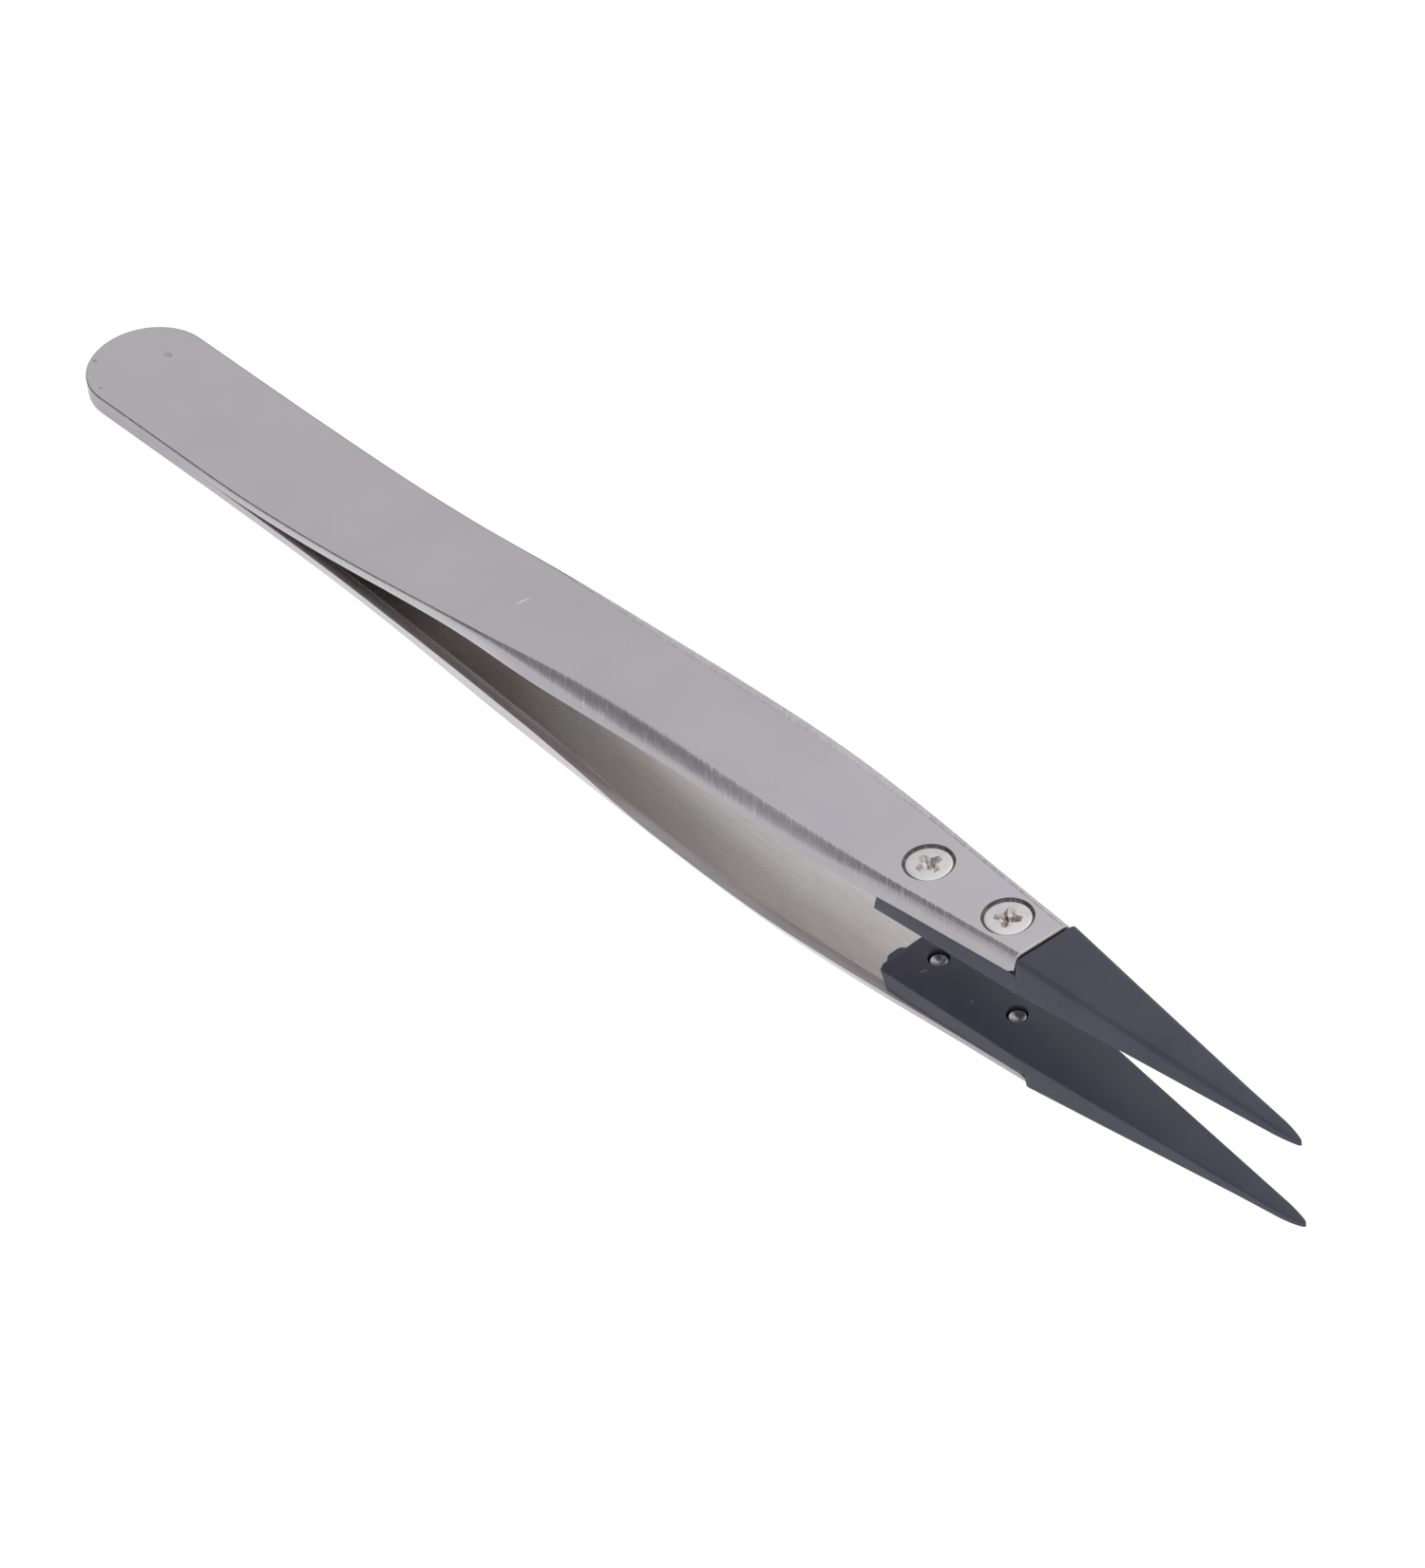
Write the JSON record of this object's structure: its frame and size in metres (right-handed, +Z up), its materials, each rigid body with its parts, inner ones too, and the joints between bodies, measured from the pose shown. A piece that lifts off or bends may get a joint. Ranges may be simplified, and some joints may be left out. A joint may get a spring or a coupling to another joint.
{
  "type": "precision tweezers",
  "caption": "Long straight tweezers: sprung steel strips joined at a round tail, with fine black plastic points screwed into their rolled front edges.",
  "frame": {"origin": "on the floor under the middle of the part's length, as it lies on its tail and on the lower strip's belly", "axes": "+X from the tail to the tips, +Y across the strips, +Z up"},
  "size_m": [0.13, 0.0098, 0.0141],
  "materials": {
    "strip_steel": "satin stainless sheet, fine brushing",
    "tip_plastic": "carbon-filled moulded plastic, matt charcoal",
    "screw_nickel": "bright nickel plate"
  },
  "bodies": {
    "tail": {"upper_arm_tail": "strip_steel", "lower_arm_tail": "strip_steel", "tail_weld": "strip_steel"},
    "upper_arm": {"upper_arm": "strip_steel", "upper_tip": "tip_plastic", "upper_rear_screw": "screw_nickel", "upper_front_screw": "screw_nickel"},
    "lower_arm": {"lower_arm": "strip_steel", "lower_tip": "tip_plastic", "lower_rear_screw": "screw_nickel", "lower_front_screw": "screw_nickel"}
  },
  "joints": [
    {"name": "upper_arm_flex", "type": "hinge", "parent": "tail", "child": "upper_arm", "pos_m": [-0.03508, 0, 0.00368], "axis": [0, 1, 0], "range_deg": [0, 2.09], "stiffness_Nm_per_rad": 2.2},
    {"name": "lower_arm_flex", "type": "hinge", "parent": "tail", "child": "lower_arm", "pos_m": [-0.03496, 0, 0.00194], "axis": [0, -1, 0], "range_deg": [0, 2.09], "stiffness_Nm_per_rad": 2.2}
  ],
  "couplings": [
    {"joint": "lower_arm_flex", "follows": "upper_arm_flex", "ratio": 1}
  ]
}
